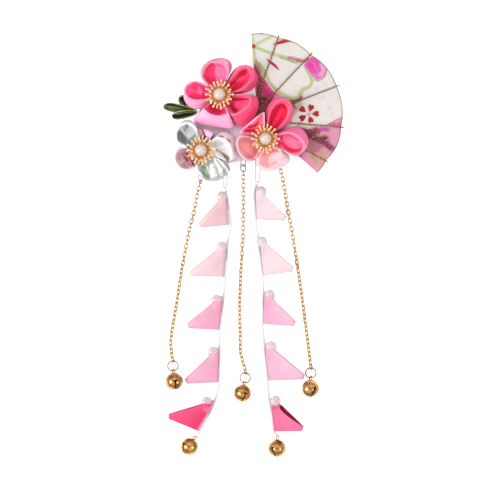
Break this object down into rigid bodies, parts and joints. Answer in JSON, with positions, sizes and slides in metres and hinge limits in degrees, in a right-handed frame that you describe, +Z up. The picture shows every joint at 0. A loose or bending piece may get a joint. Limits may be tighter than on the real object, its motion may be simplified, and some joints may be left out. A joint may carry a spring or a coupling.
{
  "type": "flower hairpin",
  "caption": "Flower hairpin lying flat: three folded cloth flowers, leaves and a cloth fan on a clip, with hanging chains, petal strands and bells.",
  "frame": {"origin": "centre of the clip's sole, on the surface the hairpin lies on", "axes": "+X to the fan's side, +Y from the strands' bells towards the flowers, +Z up off the surface"},
  "size_m": [0.0832, 0.1957, 0.0212],
  "materials": {
    "fan_cloth": "crepe cloth, printed",
    "petal_hot_pink": "crepe cloth",
    "petal_pink": "crepe cloth, shaded to pale pink",
    "petal_print": "crepe cloth, pale print",
    "petal_pale": "crepe cloth",
    "petal_mid": "crepe cloth",
    "leaf_satin": "satin",
    "backing_card": "felt over card",
    "gold_thread": "twisted metallic cord",
    "white_thread": "twisted cord",
    "gold_stamen": "bright gold",
    "gold_chain": "polished",
    "bell_brass": "polished",
    "clip_steel": "satin",
    "pearl": "pearl lustre",
    "glass_bead": "clear, palely tinted"
  },
  "bodies": {
    "root": {"fan_panel": "fan_cloth", "fan_cord_1": "gold_thread", "fan_cord_2": "gold_thread", "fan_cord_3": "gold_thread", "fan_cord_4": "gold_thread", "fan_cord_5": "gold_thread", "flower_a_petal_1": "petal_hot_pink", "flower_a_petal_2": "petal_hot_pink", "flower_a_petal_3": "petal_hot_pink", "flower_a_petal_4": "petal_hot_pink", "flower_a_petal_5": "petal_hot_pink", "flower_b_petal_1": "petal_pink", "flower_b_petal_2": "petal_pink", "flower_b_petal_3": "petal_pink", "flower_b_petal_4": "petal_pink", "flower_b_petal_5": "petal_pink", "flower_c_petal_1": "petal_print", "flower_c_petal_2": "petal_print", "flower_c_petal_3": "petal_print", "flower_c_petal_4": "petal_print", "flower_c_petal_5": "petal_print", "stamens_a": "gold_stamen", "stamens_b": "gold_stamen", "stamens_c": "gold_stamen", "pearl_a": "pearl", "pearl_b": "pearl", "pearl_c": "pearl", "leaf_1": "leaf_satin", "leaf_2": "leaf_satin", "leaf_3": "leaf_satin", "backing": "backing_card", "clip": "clip_steel", "hanger_1": "white_thread", "hanger_2": "white_thread", "hanger_3": "white_thread", "hanger_4": "white_thread", "hanger_5": "white_thread", "chain_left": "gold_chain", "chain_centre": "gold_chain", "chain_right": "gold_chain", "chain_bell_left": "bell_brass", "chain_bell_centre": "bell_brass", "chain_bell_right": "bell_brass", "strand_cord_left": "white_thread", "strand_cord_right": "white_thread", "strand_petal_l1": "petal_pale", "strand_petal_l2": "petal_pale", "strand_petal_l3": "petal_mid", "strand_petal_l4": "petal_mid", "strand_petal_l5": "petal_hot_pink", "strand_petal_r1": "petal_pale", "strand_petal_r2": "petal_pale", "strand_petal_r3": "petal_mid", "strand_petal_r4": "petal_mid", "strand_petal_r5": "petal_hot_pink", "strand_beads_left": "glass_bead", "strand_beads_right": "glass_bead", "strand_bell_left": "bell_brass", "strand_bell_right": "bell_brass"}
  },
  "joints": []
}
